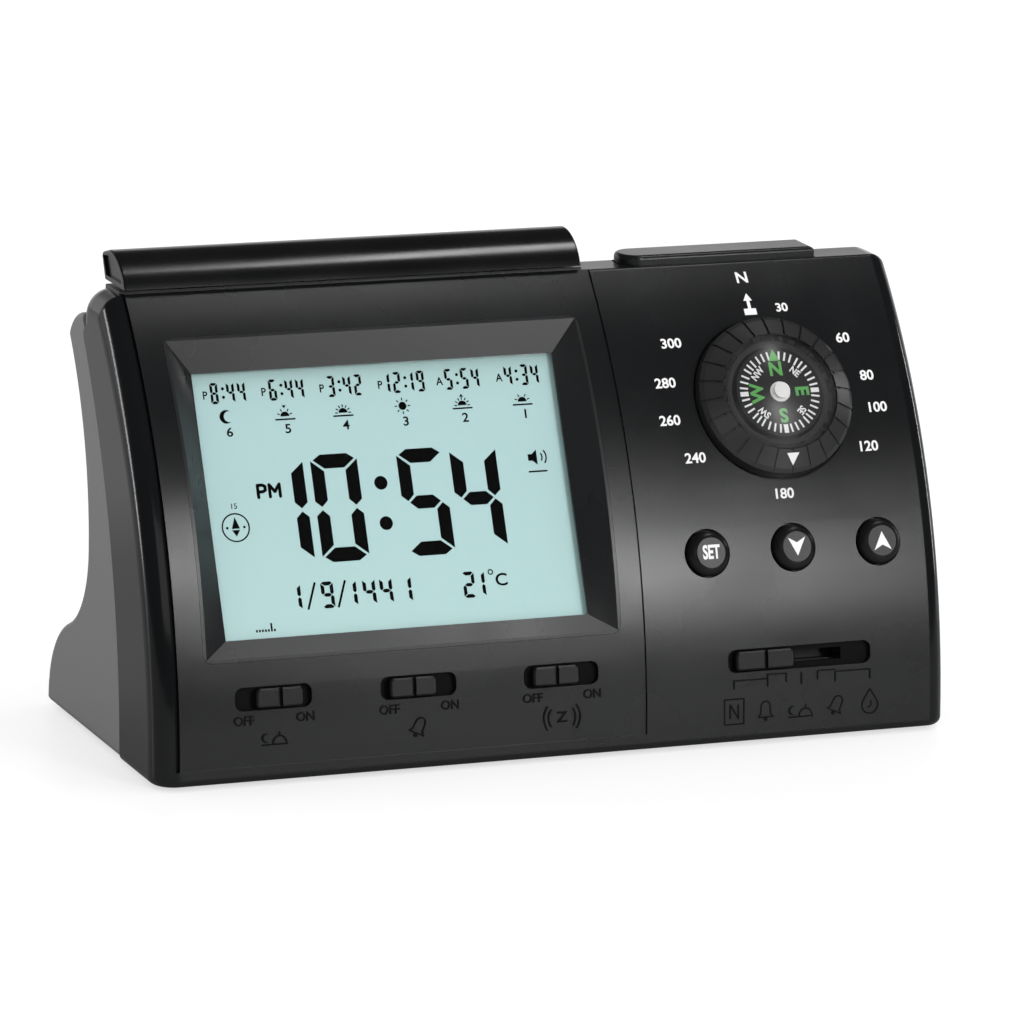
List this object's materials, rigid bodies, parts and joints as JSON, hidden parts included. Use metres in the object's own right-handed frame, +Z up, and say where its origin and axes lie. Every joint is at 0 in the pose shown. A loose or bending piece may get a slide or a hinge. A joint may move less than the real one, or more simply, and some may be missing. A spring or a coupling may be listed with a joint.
{
  "type": "table azan clock",
  "caption": "Table azan clock with a leaning curved front, calendar display, domed compass with turning ring, push buttons, sliding switches, top bar and battery door.",
  "frame": {"origin": "centre of the footprint on the table, level with the undersides of the feet", "axes": "+X towards the side with the compass, +Y from the front to the back, +Z up"},
  "size_m": [0.1526, 0.0627, 0.0886],
  "materials": {
    "black_shell": "satin moulded",
    "black_key": "satin gloss",
    "inner_black": "moulded",
    "dark_frame": "satin metallic paint",
    "dark_ring": "satin",
    "clear": "clear plastic",
    "display": "liquid crystal",
    "diffuser": "frosted",
    "contact_rubber": "matt",
    "foot_rubber": "matt",
    "circuit_board": "solder mask",
    "black_resin": "moulded",
    "steel": "plated",
    "switch_can": "stamped",
    "magnet": "sintered",
    "brass": "turned",
    "card": "printed",
    "cap_plastic": "moulded",
    "cone_paper": "pressed",
    "cell_jacket": "plain jacket"
  },
  "bodies": {
    "case": {"front_housing": "black_shell", "rear_housing": "black_shell", "display_bezel": "dark_frame", "display_window": "clear", "compass_lens": "clear", "lcd_glass": "display", "backlight_panel": "diffuser", "zebra_strips": "contact_rubber", "lcd_holder": "inner_black", "main_board": "circuit_board", "key_board": "circuit_board", "slider_board": "circuit_board", "top_board": "circuit_board", "chip_blob": "black_resin", "quartz_crystal": "steel", "capacitors": "black_resin", "compass_cup": "dark_ring", "compass_pivot": "brass", "keypad_membrane": "contact_rubber", "slide_switches": "switch_can", "tact_switches": "black_resin", "display_screws": "steel", "key_board_screws": "steel", "slider_board_screws": "steel", "top_board_screws": "steel", "case_screws": "steel", "speaker_frame": "switch_can", "speaker_cone": "cone_paper", "speaker_magnet": "magnet", "speaker_clamp": "inner_black", "rubber_feet": "foot_rubber", "batteries": "cell_jacket", "contact_plates": "steel", "contact_springs": "steel"},
    "set_key": {"set_button": "black_key"},
    "down_key": {"down_button": "black_key"},
    "up_key": {"up_button": "black_key"},
    "bar": {"snooze_bar": "black_shell"},
    "light_key": {"light_button": "black_shell"},
    "azan_slider": {"azan_switch_knob": "black_key"},
    "alarm_slider": {"alarm_switch_knob": "black_key"},
    "snooze_slider": {"snooze_switch_knob": "black_key"},
    "mode_slider": {"mode_switch_knob": "black_key"},
    "ring": {"compass_ring": "dark_ring"},
    "needle": {"compass_card": "card", "compass_magnet": "steel", "needle_cap": "cap_plastic"},
    "door": {"battery_door": "black_shell"}
  },
  "joints": [
    {"name": "set_press", "type": "slide", "parent": "case", "child": "set_key", "axis": [0, 0.9532, -0.3024], "range_m": [0, 0.0008], "stiffness_N_per_m": 200, "springref_m": -0.001},
    {"name": "down_press", "type": "slide", "parent": "case", "child": "down_key", "axis": [0, 0.9532, -0.3024], "range_m": [0, 0.0008], "stiffness_N_per_m": 200, "springref_m": -0.001},
    {"name": "up_press", "type": "slide", "parent": "case", "child": "up_key", "axis": [0, 0.9532, -0.3024], "range_m": [0, 0.0008], "stiffness_N_per_m": 200, "springref_m": -0.001},
    {"name": "snooze_bar_press", "type": "slide", "parent": "case", "child": "bar", "axis": [0, 0, -1], "range_m": [0, 0.00045], "stiffness_N_per_m": 400, "springref_m": -0.001},
    {"name": "light_press", "type": "slide", "parent": "case", "child": "light_key", "axis": [0, 0, -1], "range_m": [0, 0.00045], "stiffness_N_per_m": 300, "springref_m": -0.001},
    {"name": "azan_switch_slide", "type": "slide", "parent": "case", "child": "azan_slider", "axis": [1, 0, 0], "range_m": [-0.0022, 0]},
    {"name": "alarm_switch_slide", "type": "slide", "parent": "case", "child": "alarm_slider", "axis": [1, 0, 0], "range_m": [0, 0.0022]},
    {"name": "snooze_switch_slide", "type": "slide", "parent": "case", "child": "snooze_slider", "axis": [1, 0, 0], "range_m": [0, 0.0022]},
    {"name": "mode_switch_slide", "type": "slide", "parent": "case", "child": "mode_slider", "axis": [1, 0, 0], "range_m": [0, 0.0138]},
    {"name": "ring_turn", "type": "hinge", "parent": "case", "child": "ring", "pos_m": [0.04675, -0.01442, 0.0601], "axis": [0, -0.8627, 0.5056], "continuous": true},
    {"name": "needle_turn", "type": "hinge", "parent": "case", "child": "needle", "pos_m": [0.04675, -0.01442, 0.0601], "axis": [0, -0.8627, 0.5056], "continuous": true},
    {"name": "battery_door_slide", "type": "slide", "parent": "case", "child": "door", "axis": [0, 1, 0], "range_m": [0, 0.034]}
  ]
}
